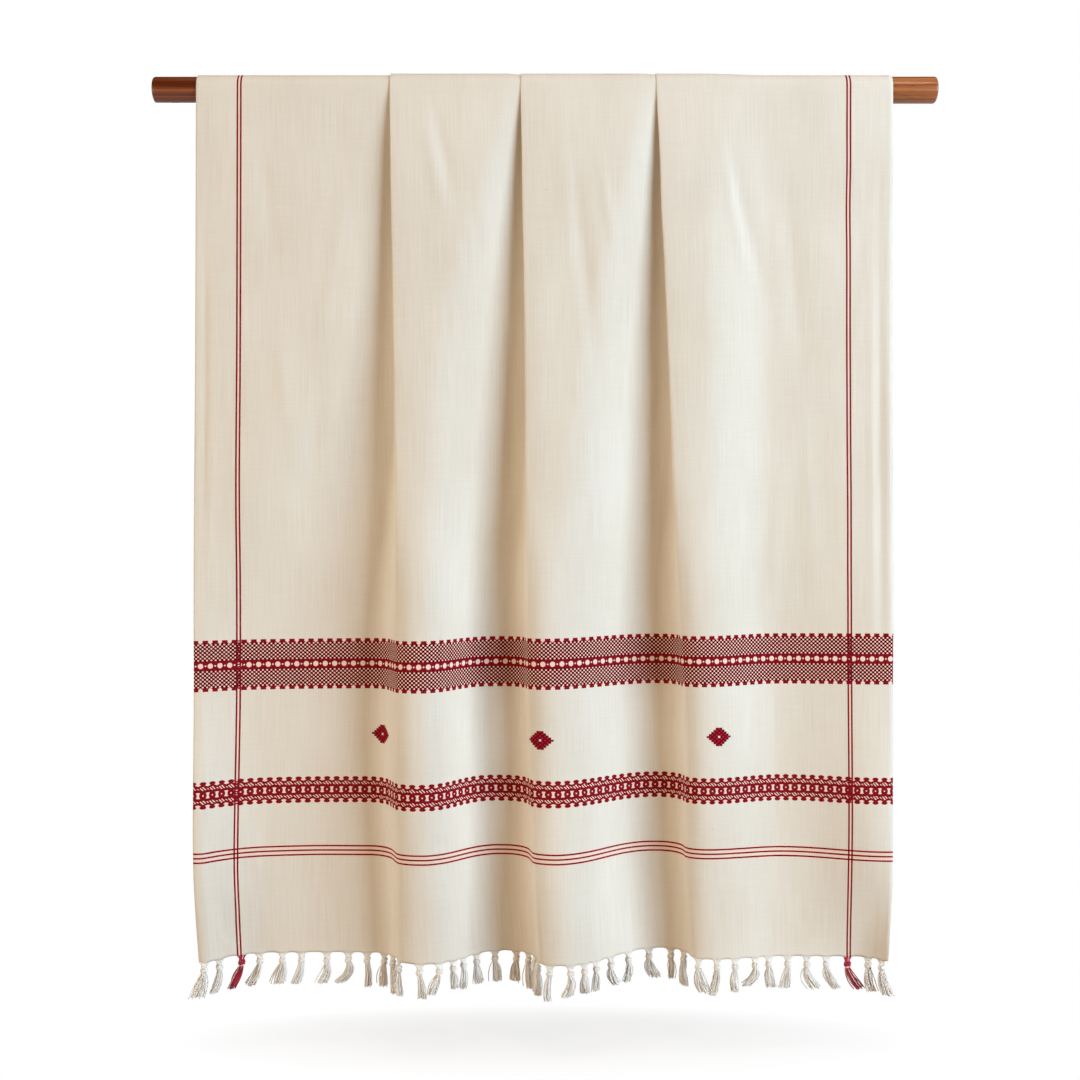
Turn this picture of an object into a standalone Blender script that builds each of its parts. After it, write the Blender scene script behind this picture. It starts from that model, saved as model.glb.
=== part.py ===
"""A fringed woven towel hanging over a round wooden rod. Metres, +Z up.

The origin is the middle of the rod's axis. X runs along the rod, and the towel's good side,
with its long drop, faces -Y. The cloth is folded into three knife pleats where it crosses the
rod. Each pleat opens downwards into a hanging wave.
"""

import math
from bisect import bisect_right
from collections import namedtuple

import bmesh
import bpy
import numpy as np
from mathutils import Vector

UP = Vector((0, 0, 1))
SAME_LEVEL = 1e-6

# The rod
ROD_LENGTH = 0.850
ROD_RADIUS = 0.014
ROD_SIDES = 32
ROD_END_BEVEL = 0.0025

# The cloth
CLOTH_WIDTH = 0.866
CLOTH_THICKNESS = 0.0010
LAYER_PITCH = 0.0014
ROD_CLEARANCE = 0.0005
FRONT_DROP = 0.9300
BACK_DROP = 0.8000
SAG_AT_HEM = 0.14  # a fold that stands out further hangs a little lower

# The three pleats, as lengths of cloth from a pleat's outer edge
CREST = 0.028
FALLS = (0.140, 0.075, 0.112, 0.080)
CURL_WIDTH = 0.026

# The fringe
FRINGE_GAP = 0.0005
STRIP_HEIGHT = 0.0030
NECK_WIDTH = 0.0034
LOCKS = 3
LOCK_WIDTH = 0.0026
LOCK_DEPTH = 0.0034
LOCK_GAP = 0.0004
OUTER_LOCK_LIFT = 0.0015
# The steps down a tassel: how far below the strip, the share of its lean, width and depth.
TasselStep = namedtuple("TasselStep", "down shift width depth")
TASSEL_STEPS = (
    TasselStep(0.0022, 0.00, 0.0032, 0.0024),
    TasselStep(0.0048, 0.02, 0.0062, 0.0056),
    TasselStep(0.0082, 0.08, 0.0044, 0.0044),
)

# How far the pleats have opened: the angle that a pleat's hidden face turns to, the lengths
# of cloth in its two turns, the swell before the hidden face, and the selvedges' curl.
Shape = namedtuple("Shape", "drop lean edge_turn hollow_turn swell curl")
# Where the selvedges and the pleats' outer edges stand along the rod.
Across = namedtuple("Across", "drop left edge_1 edge_2 edge_3 right")
# How much cloth lies between the left selvedge and each pleat's outer edge.
Weft = namedtuple("Weft", "drop edge_1 edge_2 edge_3")
# How far the selvedges and the hollows stand out from the hanging plane.
Out = namedtuple("Out", "drop left hollow_1 hollow_2 hollow_3 hollow_4 right")
Drape = namedtuple("Drape", "shape across weft out")

CLOSED_TURN = math.pi * LAYER_PITCH / 2

FRONT = Drape(
    shape=(
        Shape(0.00, 180, CLOSED_TURN, CLOSED_TURN, 0.000, 0),
        Shape(0.06, 158, 0.003, 0.008, 0.000, 0),
        Shape(0.29, 116, 0.006, 0.020, 0.002, 0),
        Shape(0.57, 88, 0.009, 0.024, 0.005, 0),
        Shape(0.64, 78, 0.010, 0.024, 0.006, 0),
        Shape(0.84, 74, 0.011, 0.022, 0.009, 20),
        Shape(0.93, 74, 0.012, 0.022, 0.010, 85),
    ),
    across=(
        Across(0.00, -0.376, -0.167, -0.026, 0.120, 0.375),
        Across(0.29, -0.374, -0.160, -0.021, 0.131, 0.371),
        Across(0.57, -0.372, -0.154, -0.019, 0.142, 0.368),
        Across(0.76, -0.371, -0.153, -0.013, 0.150, 0.367),
        Across(0.86, -0.369, -0.151, -0.007, 0.155, 0.365),
        Across(0.93, -0.356, -0.150, -0.002, 0.157, 0.361),
    ),
    weft=(
        Weft(0.00, 0.244, 0.422, 0.612),
        Weft(0.62, 0.243, 0.422, 0.622),
        Weft(0.78, 0.2427, 0.4248, 0.6256),
        Weft(0.93, 0.239, 0.430, 0.630),
    ),
    out=(
        Out(0.00, 0.000, 0.000, 0.000, 0.000, 0.000, 0.000),
        Out(0.29, 0.010, 0.003, 0.004, 0.001, 0.004, 0.009),
        Out(0.62, 0.028, 0.008, 0.010, 0.001, 0.012, 0.025),
        Out(0.93, 0.042, 0.008, 0.010, 0.001, 0.013, 0.038),
    ),
)

BACK = Drape(
    shape=(
        Shape(0.00, 180, CLOSED_TURN, CLOSED_TURN, 0.000, 0),
        Shape(0.06, 160, 0.003, 0.008, 0.000, 0),
        Shape(0.30, 124, 0.006, 0.022, 0.002, 0),
        Shape(0.55, 106, 0.009, 0.026, 0.004, 0),
        Shape(0.80, 94, 0.011, 0.026, 0.006, 20),
    ),
    across=(
        Across(0.00, -0.376, -0.167, -0.026, 0.120, 0.375),
        Across(0.30, -0.374, -0.165, -0.023, 0.124, 0.373),
        Across(0.80, -0.369, -0.161, -0.019, 0.131, 0.370),
    ),
    weft=(
        Weft(0.00, 0.244, 0.422, 0.612),
        Weft(0.80, 0.243, 0.423, 0.616),
    ),
    out=(
        Out(0.00, 0.000, 0.000, 0.000, 0.000, 0.000, 0.000),
        Out(0.30, 0.006, 0.002, 0.004, 0.001, 0.004, 0.006),
        Out(0.80, 0.020, 0.006, 0.008, 0.002, 0.009, 0.018),
    ),
)

FRONT_ROWS = (0.93, 0.885, 0.83, 0.77, 0.71, 0.65, 0.60, 0.53, 0.45, 0.36, 0.27, 0.18, 0.10, 0.045, 0.012)
BACK_ROWS = (0.012, 0.045, 0.10, 0.18, 0.28, 0.38, 0.48, 0.58, 0.69, 0.80)
ROD_STEPS = 10

# Each front tassel: its root's distance from the left selvedge, how far its tip leans
# towards +X, how long it hangs, and how wide its cut end spreads.
Tassel = namedtuple("Tassel", "root lean length spread")
FRONT_TASSELS = (
    Tassel(0.006, -0.008, 0.036, 0.015),
    Tassel(0.024, -0.007, 0.033, 0.008),
    Tassel(0.049, -0.010, 0.033, 0.007),
    Tassel(0.068, -0.010, 0.033, 0.008),
    Tassel(0.092, -0.004, 0.032, 0.013),
    Tassel(0.112, -0.006, 0.032, 0.008),
    Tassel(0.139, -0.003, 0.032, 0.009),
    Tassel(0.162, -0.007, 0.031, 0.010),
    Tassel(0.182, 0.002, 0.035, 0.006),
    Tassel(0.201, -0.001, 0.034, 0.008),
    Tassel(0.214, 0.003, 0.038, 0.008),
    Tassel(0.233, 0.001, 0.034, 0.009),
    Tassel(0.260, 0.002, 0.034, 0.008),
    Tassel(0.281, -0.008, 0.030, 0.008),
    Tassel(0.298, 0.002, 0.029, 0.006),
    Tassel(0.312, -0.001, 0.031, 0.007),
    Tassel(0.330, 0.003, 0.030, 0.010),
    Tassel(0.352, 0.002, 0.031, 0.009),
    Tassel(0.375, -0.001, 0.031, 0.010),
    Tassel(0.390, 0.003, 0.036, 0.008),
    Tassel(0.403, 0.006, 0.036, 0.009),
    Tassel(0.418, 0.002, 0.034, 0.008),
    Tassel(0.440, -0.002, 0.036, 0.006),
    Tassel(0.462, -0.004, 0.031, 0.011),
    Tassel(0.478, 0.001, 0.029, 0.010),
    Tassel(0.493, -0.001, 0.029, 0.008),
    Tassel(0.514, 0.008, 0.029, 0.010),
    Tassel(0.540, -0.002, 0.030, 0.008),
    Tassel(0.566, 0.008, 0.030, 0.011),
    Tassel(0.590, 0.000, 0.031, 0.006),
    Tassel(0.606, 0.002, 0.035, 0.008),
    Tassel(0.637, 0.005, 0.034, 0.013),
    Tassel(0.659, -0.004, 0.036, 0.006),
    Tassel(0.681, 0.000, 0.033, 0.006),
    Tassel(0.706, -0.009, 0.028, 0.008),
    Tassel(0.723, 0.003, 0.031, 0.010),
    Tassel(0.746, -0.003, 0.032, 0.009),
    Tassel(0.769, 0.009, 0.033, 0.010),
    Tassel(0.792, 0.009, 0.033, 0.007),
    Tassel(0.817, 0.012, 0.033, 0.006),
    Tassel(0.841, 0.004, 0.034, 0.010),
    Tassel(0.857, 0.007, 0.035, 0.014),
)
BACK_TASSELS = tuple(
    Tassel(
        0.009 + n * (CLOTH_WIDTH - 0.018) / 41,
        0.004 * math.sin(2.1 * n),
        0.033 + 0.002 * math.sin(1.3 * n),
        0.009,
    )
    for n in range(42)
)

# How finely a section is added up, and the bounds of its search.
SAMPLES = 3000
STEP = CLOTH_WIDTH / SAMPLES
PATH = (np.arange(SAMPLES) + 0.5) * STEP
HALVINGS = 16
LEAST_FALL = math.radians(-35)
MOST_FALL = math.radians(77)
MOST_TUCK = 0.075
FIRST_FALL_KEPT = 0.045  # where the mesh starts to follow the first fall, clear of the curl
TURN_PLACES = (-1 / 2, -1 / 6, 1 / 6, 1 / 2)


def smooth_value(rows, drop, name):
    """The named column's value at a drop, on a smooth curve through the table's rows."""
    drops = [row.drop for row in rows]
    values = [getattr(row, name) for row in rows]
    slopes = np.gradient(values, drops)
    i = min(max(bisect_right(drops, drop) - 1, 0), len(rows) - 2)
    gap = drops[i + 1] - drops[i]
    u = (drop - drops[i]) / gap
    keep = (1 + 2 * u) * (1 - u) ** 2 * values[i] + u * u * (3 - 2 * u) * values[i + 1]
    bend = u * (1 - u) ** 2 * slopes[i] - u * u * (1 - u) * slopes[i + 1]
    return keep + gap * bend


def row_at(rows, drop):
    """The table's row at any drop."""
    row_type = type(rows[0])
    return row_type(drop, *(smooth_value(rows, drop, name) for name in row_type._fields[1:]))


def ramp(path, centre, width):
    """Rises from 0 to 1 along a turn."""
    return np.clip((path - centre) / width + 0.5, 0, 1)


def arch(path, start, length):
    """Rises from 0 to 1 and falls back to 0 over a length of cloth."""
    return np.sin(np.pi * np.clip((path - start) / length, 0, 1))


class Section:
    """One level cut of the hanging cloth.

    The cloth keeps its length: at each point along the weft it heads in some direction, and
    adding up those headings gives how far across and how far out each point stands.
    """

    def __init__(self, drape, drop):
        self.shape = row_at(drape.shape, drop)
        self.weft = row_at(drape.weft, drop)
        self.edges = self.weft[1:]
        self.across_row = row_at(drape.across, drop)
        self.out_row = row_at(drape.out, drop)
        self.lean = math.radians(self.shape.lean)
        self.fall_starts = (0.0,) + tuple(edge + CREST for edge in self.edges)
        self.fall_ends = tuple(start + length for start, length in zip(self.fall_starts, FALLS))
        self.least_tuck = 0.5 * (self.shape.edge_turn + self.shape.hollow_turn)
        self.tucks = [self.least_tuck] * 3
        self.fall_angles = [0.0] * 4
        self.last_rise = [0.0]
        self.settle()
        self.fit_right()

    def heading(self, path):
        """The angle, towards the viewer, that the cloth runs at along the weft."""
        angle = np.zeros_like(path)
        for start, length, fall in zip(self.fall_starts, FALLS, self.fall_angles):
            angle -= fall * arch(path, start, length)
        for edge, tuck, fall_end in zip(self.edges, self.tucks, self.fall_ends):
            hollow = edge - tuck
            rise_length = hollow - fall_end
            swell = self.shape.swell * math.pi / (2 * rise_length)
            angle += swell * arch(path, fall_end, rise_length)
            angle += self.lean * ramp(path, hollow, self.shape.hollow_turn)
            angle -= self.lean * ramp(path, edge, self.shape.edge_turn)
        last_end = self.fall_ends[-1]
        angle += self.last_rise[0] * arch(path, last_end, CLOTH_WIDTH - last_end)
        curl = math.radians(self.shape.curl)
        angle -= curl * np.clip(1 - path / CURL_WIDTH, 0, 1)
        angle += curl * np.clip(1 - (CLOTH_WIDTH - path) / CURL_WIDTH, 0, 1)
        return angle

    def walk(self):
        """Adds up the headings from the left selvedge."""
        angle = self.heading(PATH)
        self.points = np.arange(SAMPLES + 1) * STEP
        self.across = self.across_row.left + np.append(0, np.cumsum(np.cos(angle))) * STEP
        self.out = self.out_row.left + np.append(0, np.cumsum(np.sin(angle))) * STEP

    def at(self, values, place):
        return float(np.interp(place, self.points, values))

    def settle(self):
        """From left to right, deepens each fall to its hollow and tucks cloth under each edge."""
        stops = self.across_row[1:5]
        places = (0.0,) + tuple(self.edges)
        heights = self.out_row[2:6]
        for n, (bottom, height) in enumerate(zip(self.fall_ends, heights)):
            def above():
                return height - self.at(self.out, bottom)

            self.solve(self.fall_angles, n, above, LEAST_FALL, MOST_FALL)
            if n < 3:
                span = stops[n + 1] - stops[n]

                def short():
                    return span - self.at(self.across, places[n + 1]) + self.at(self.across, places[n])

                self.solve(self.tucks, n, short, self.least_tuck, MOST_TUCK)

        def past_right():
            return self.out[-1] - self.out_row.right

        self.solve(self.last_rise, 0, past_right, LEAST_FALL, MOST_FALL)

    def solve(self, values, n, miss, low, high):
        """Halves the range until the value leaves no miss. The miss grows with the value."""
        for _ in range(HALVINGS):
            values[n] = 0.5 * (low + high)
            self.walk()
            if miss() > 0:
                high = values[n]
            else:
                low = values[n]

    def fit_right(self):
        """Draws the last panel in, so that its selvedge hangs where it should."""
        edge = self.at(self.across, self.edges[2])
        scale = (self.across_row.right - edge) / (self.across[-1] - edge)
        past = self.points > self.edges[2]
        self.across[past] = edge + (self.across[past] - edge) * scale

    def columns(self):
        """The places along the weft that the mesh keeps, closer together in the turns."""
        places = [0.0, CURL_WIDTH / 2, CURL_WIDTH]
        for n, (start, bottom) in enumerate(zip(self.fall_starts, self.fall_ends)):
            places += list(np.linspace(max(start, FIRST_FALL_KEPT), bottom, 5))
            if n < 3:
                hollow = self.edges[n] - self.tucks[n]
                hollow_turn = [hollow + part * self.shape.hollow_turn for part in TURN_PLACES]
                edge_turn = [self.edges[n] + part * self.shape.edge_turn for part in TURN_PLACES]
                places += [(bottom + hollow_turn[0]) / 2, *hollow_turn]
                places += [(hollow_turn[-1] + edge_turn[0]) / 2, *edge_turn]
        places += list(np.linspace(self.fall_ends[-1], CLOTH_WIDTH - CURL_WIDTH, 5)[1:])
        places += [CLOTH_WIDTH - CURL_WIDTH / 2, CLOTH_WIDTH]
        return np.array(places)

    def read(self, places):
        """Across and out at places along the weft."""
        return np.interp(places, self.points, self.across), np.interp(places, self.points, self.out)


CARRIER_RADIUS = ROD_RADIUS + ROD_CLEARANCE + CLOTH_THICKNESS / 2


def hang(across, out, side, drop):
    """Points of the cloth below the rod: side is -1 in front and 1 behind."""
    sag = SAG_AT_HEM * drop / FRONT_DROP
    return [(a, side * (CARRIER_RADIUS + o), -drop - sag * o) for a, o in zip(across, out)]


def wrap(across, out, angle):
    """Points of the cloth on the rod: the angle runs from the front, over the top, to the back."""
    return [
        (a, -(CARRIER_RADIUS + o) * math.cos(angle), (CARRIER_RADIUS + o) * math.sin(angle))
        for a, o in zip(across, out)
    ]


def cloth_rows():
    """The cloth's mid-surface as rows of points, from the front hem to the back hem."""
    rows = []
    for drop in FRONT_ROWS:
        section = Section(FRONT, drop)
        rows.append(hang(*section.read(section.columns()), -1, drop))
    rod_section = Section(FRONT, 0.0)
    rod_line = rod_section.read(rod_section.columns())
    for step in range(ROD_STEPS + 1):
        rows.append(wrap(*rod_line, math.pi * step / ROD_STEPS))
    for drop in BACK_ROWS:
        section = Section(BACK, drop)
        rows.append(hang(*section.read(section.columns()), 1, drop))
    return rows


def sheet_mesh(rows):
    """Extrudes a line of edges from row to row."""
    bm = bmesh.new()
    line = [bm.verts.new(point) for point in rows[0]]
    edges = [bm.edges.new(pair) for pair in zip(line, line[1:])]
    for row in rows[1:]:
        made = bmesh.ops.extrude_edge_only(bm, edges=edges)["geom"]
        place_of = {vert: place for place, vert in enumerate(line)}
        following = [None] * len(line)
        for vert in made:
            if isinstance(vert, bmesh.types.BMVert):
                near = [edge.other_vert(vert) for edge in vert.link_edges]
                place = next(place_of[other] for other in near if other in place_of)
                vert.co = row[place]
                following[place] = vert
        line = following
        edges = [bm.edges.get(pair) for pair in zip(line, line[1:])]
    bmesh.ops.recalc_face_normals(bm, faces=bm.faces)
    return bm


def material(name, colour, roughness):
    made = bpy.data.materials.new(name)
    made.use_nodes = True
    shader = made.node_tree.nodes["Principled BSDF"]
    shader.inputs["Base Color"].default_value = (*colour, 1.0)
    shader.inputs["Roughness"].default_value = roughness
    shader.inputs["Metallic"].default_value = 0.0
    return made


def add_object(name, bm, finish):
    mesh = bpy.data.meshes.new(name)
    bm.to_mesh(mesh)
    bm.free()
    mesh.materials.append(finish)
    mesh.shade_smooth()
    mesh.set_sharp_from_angle(angle=math.radians(50))
    made = bpy.data.objects.new(name, mesh)
    bpy.context.scene.collection.objects.link(made)
    return made


def add_rod(finish):
    """The turned rod, with softened ends."""
    bm = bmesh.new()
    bmesh.ops.create_cone(
        bm, cap_ends=True, segments=ROD_SIDES, radius1=ROD_RADIUS, radius2=ROD_RADIUS, depth=ROD_LENGTH
    )
    ends = [edge for edge in bm.edges if abs(edge.verts[0].co.z - edge.verts[1].co.z) < ROD_END_BEVEL]
    bmesh.ops.bevel(
        bm, geom=ends, offset=ROD_END_BEVEL, offset_type="OFFSET",
        affect="EDGES", segments=2, profile=0.5, material=-1,
    )
    rod = add_object("rod", bm, finish)
    rod.rotation_euler = (0, math.radians(90), 0)
    return rod


def add_towel(finish):
    """The cloth, one sheet from hem to hem."""
    towel = add_object("towel", sheet_mesh(cloth_rows()), finish)
    wall = towel.modifiers.new("wall", "SOLIDIFY")
    wall.thickness = CLOTH_THICKNESS
    wall.offset = 0
    wall.use_even_offset = True
    return towel


def place_corners(face, centre, across, outwards, width, depth):
    """Moves a face's four corners onto an oblong round a centre."""
    middle = face.calc_center_median()
    for vert in face.verts:
        arm = vert.co - middle
        right = math.copysign(width / 2, arm.dot(across))
        front = math.copysign(depth / 2, arm.dot(outwards))
        vert.co = centre + right * across + front * outwards


def extrude_face(bm, face):
    return bmesh.ops.extrude_discrete_faces(bm, faces=[face])["faces"][0]


def split_face(bm, face, across):
    """Cuts a face into the roots of its locks, and returns them in order along the weft."""
    def run(edge):
        return abs((edge.verts[0].co - edge.verts[1].co).dot(across))

    long_edges = sorted(face.edges, key=run)[-2:]
    made = bmesh.ops.subdivide_edges(bm, edges=long_edges, cuts=LOCKS - 1, use_grid_fill=True)
    new_verts = [item for item in made["geom_inner"] if isinstance(item, bmesh.types.BMVert)]
    level = new_verts[0].co.z
    roots = {
        near
        for vert in new_verts
        for near in vert.link_faces
        if max(abs(corner.co.z - level) for corner in near.verts) < SAME_LEVEL
    }
    return sorted(roots, key=lambda root: root.calc_center_median().dot(across))


def tie_tassel(bm, face, tassel, across, outwards):
    """Neck, overhand knot and loose locks, drawn down from one face of the strip."""
    root = face.calc_center_median()
    for step in TASSEL_STEPS:
        face = extrude_face(bm, face)
        centre = root + step.shift * tassel.lean * across - step.down * UP
        place_corners(face, centre, across, outwards, step.width, step.depth)
    lock_width = min(LOCK_WIDTH, (tassel.spread - (LOCKS - 1) * LOCK_GAP) / LOCKS)
    pitch = (tassel.spread - lock_width) / (LOCKS - 1)
    for n, lock in enumerate(split_face(bm, face, across)):
        part = n - (LOCKS - 1) / 2
        length = tassel.length - OUTER_LOCK_LIFT * abs(part)
        reach = tassel.lean * length / tassel.length + part * pitch
        tip = extrude_face(bm, lock)
        place_corners(tip, root + reach * across - length * UP, across, outwards, lock_width, LOCK_DEPTH)


def add_fringe(name, drape, drop, side, tassels, finish):
    """A narrow strip just under a hem, with the knotted tassels fused to it."""
    section = Section(drape, drop)
    half = NECK_WIDTH / 2
    necks = [place for tassel in tassels for place in (tassel.root - half, tassel.root + half)]
    places = [0.0, *necks, CLOTH_WIDTH]
    across, out = section.read(places)
    top = [(x, y, z - FRINGE_GAP) for x, y, z in hang(across, out, side, drop)]
    bottom = [(x, y, z - STRIP_HEIGHT) for x, y, z in top]
    bm = sheet_mesh([top, bottom])
    bmesh.ops.solidify(bm, geom=list(bm.faces), thickness=CLOTH_THICKNESS)
    bmesh.ops.recalc_face_normals(bm, faces=bm.faces)
    bm.normal_update()
    under = [face for face in bm.faces if face.normal.z < -0.9]
    for n, tassel in enumerate(tassels):
        left, right = Vector(bottom[2 * n + 1]), Vector(bottom[2 * n + 2])
        face = min(under, key=lambda item: (item.calc_center_median() - (left + right) / 2).length)
        under.remove(face)
        along = (right - left).normalized()
        along.z = 0
        tie_tassel(bm, face, tassel, along, along.cross(UP))
    bmesh.ops.recalc_face_normals(bm, faces=bm.faces)
    return add_object(name, bm, finish)


def main():
    for item in list(bpy.data.objects):
        bpy.data.objects.remove(item, do_unlink=True)
    wood = material("varnished_wood", (0.26, 0.085, 0.035), 0.35)
    cotton = material("ecru_cotton", (0.83, 0.77, 0.67), 0.9)
    add_rod(wood)
    add_towel(cotton)
    add_fringe("fringe_front", FRONT, FRONT_DROP, -1, FRONT_TASSELS, cotton)
    add_fringe("fringe_back", BACK, BACK_DROP, 1, BACK_TASSELS, cotton)


main()
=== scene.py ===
import math
from bisect import bisect_right
from collections import namedtuple

import bmesh
import bpy
import numpy as np
from mathutils import Matrix, Vector


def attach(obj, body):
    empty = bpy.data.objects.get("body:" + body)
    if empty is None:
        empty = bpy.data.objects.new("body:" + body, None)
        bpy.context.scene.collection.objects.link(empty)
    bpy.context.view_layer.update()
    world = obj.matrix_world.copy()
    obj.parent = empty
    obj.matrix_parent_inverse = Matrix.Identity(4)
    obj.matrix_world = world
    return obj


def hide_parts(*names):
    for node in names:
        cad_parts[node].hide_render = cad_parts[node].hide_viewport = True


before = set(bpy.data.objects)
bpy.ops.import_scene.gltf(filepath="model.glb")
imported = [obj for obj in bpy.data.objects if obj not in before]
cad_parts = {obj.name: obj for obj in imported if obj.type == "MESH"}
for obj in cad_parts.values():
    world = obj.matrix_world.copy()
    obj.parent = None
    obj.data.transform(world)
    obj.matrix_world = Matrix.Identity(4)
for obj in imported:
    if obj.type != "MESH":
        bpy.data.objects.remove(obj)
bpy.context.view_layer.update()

# The camera.
# It stands level in front of the cloth, and at the rod it sees a little over a metre across.
CAMERA_PLACE = (-0.0054, -1.516, -0.4895)
VIEW_DISTANCE = 1.5
VIEW_WIDTH = 1.163

camera_data = bpy.data.cameras.new("camera")
camera_data.lens = camera_data.sensor_width * VIEW_DISTANCE / VIEW_WIDTH
camera_data.dof.use_dof = False
camera = bpy.data.objects.new("camera", camera_data)
camera.location = CAMERA_PLACE
camera.rotation_euler = (math.radians(90), 0, 0)
bpy.context.scene.collection.objects.link(camera)
bpy.context.scene.camera = camera

# The rod.
# A hardwood dowel, turned and sanded, with its ends rounded over by hand. It is stained
# reddish brown and finished with a thin coat of clear varnish.
ROD_RADIUS = 0.0140
ROD_LENGTH = 0.850
ROD_SIDES = 96
ROD_RINGS = 48
ROD_END_ROUND = 0.0026
ROD_UNEVENNESS = 0.00012
ROD_WAVES = (23, 9)
ROUND_STEPS = 5
Y_QUARTER_TURN = Matrix.Rotation(math.radians(90), 3, "Y")


def new_piece(name, bm):
    """A finished piece of the object, at the origin, with smooth shading."""
    mesh = bpy.data.meshes.new(name)
    bm.to_mesh(mesh)
    bm.free()
    mesh.shade_smooth()
    piece = bpy.data.objects.new(name, mesh)
    bpy.context.scene.collection.objects.link(piece)
    return piece


def turn_rod():
    """A long cylinder along X, its ends rounded over, with a trace of unevenness left by sanding."""
    bm = bmesh.new()
    bmesh.ops.create_cone(
        bm, cap_ends=True, segments=ROD_SIDES, radius1=ROD_RADIUS, radius2=ROD_RADIUS, depth=ROD_LENGTH
    )
    bmesh.ops.rotate(bm, verts=bm.verts, cent=(0, 0, 0), matrix=Y_QUARTER_TURN)
    rims = [edge for edge in bm.edges if abs(edge.verts[0].co.x - edge.verts[1].co.x) < ROD_END_ROUND]
    bmesh.ops.bevel(
        bm, geom=rims, offset=ROD_END_ROUND, offset_type="OFFSET",
        affect="EDGES", segments=ROUND_STEPS, profile=0.5, material=-1,
    )
    long_edges = [edge for edge in bm.edges if edge.calc_length() > ROD_LENGTH / 2]
    bmesh.ops.subdivide_edges(bm, edges=long_edges, cuts=ROD_RINGS)
    for vert in bm.verts:
        waves = math.sin(ROD_WAVES[0] * vert.co.x + 1.3) * math.sin(ROD_WAVES[1] * vert.co.x)
        swell = ROD_UNEVENNESS * waves
        vert.co.y *= 1 + swell / ROD_RADIUS
        vert.co.z *= 1 + swell / ROD_RADIUS
    return new_piece("rod_turned", bm)



class Field:
    """A value that varies over a surface, worked out by the material's own maths nodes."""

    def __init__(self, tree, socket):
        self.tree = tree
        self.socket = socket

    def maths(self, operation, *others):
        node = self.tree.nodes.new("ShaderNodeMath")
        node.operation = operation
        for socket, value in zip(node.inputs, (self, *others)):
            if isinstance(value, Field):
                self.tree.links.new(value.socket, socket)
            else:
                socket.default_value = value
        return Field(self.tree, node.outputs[0])

    def __add__(self, other):
        return self.maths("ADD", other)

    def __sub__(self, other):
        return self.maths("SUBTRACT", other)

    def __mul__(self, other):
        return self.maths("MULTIPLY", other)

    def __abs__(self):
        return self.maths("ABSOLUTE")

    def under(self, limit):
        return self.maths("LESS_THAN", limit)

    def over(self, limit):
        return self.maths("GREATER_THAN", limit)

    def between(self, low, high):
        return self.over(low) * self.under(high)

    def either(self, other):
        return self.maths("MAXIMUM", other)

    def without(self, other):
        """This field, but nothing where the other one is 1."""
        return self * (other * -1.0 + 1.0)

    def wave(self, period, start=0.0):
        return ((self - start) * (2 * math.pi / period)).maths("COSINE")

    def repeat(self, period, centre):
        """How far to the nearest of a row of centres, from minus to plus half a period."""
        return (self - centre).maths("WRAP", period / 2, -period / 2)


BUMP_STRENGTH = 0.155


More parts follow.
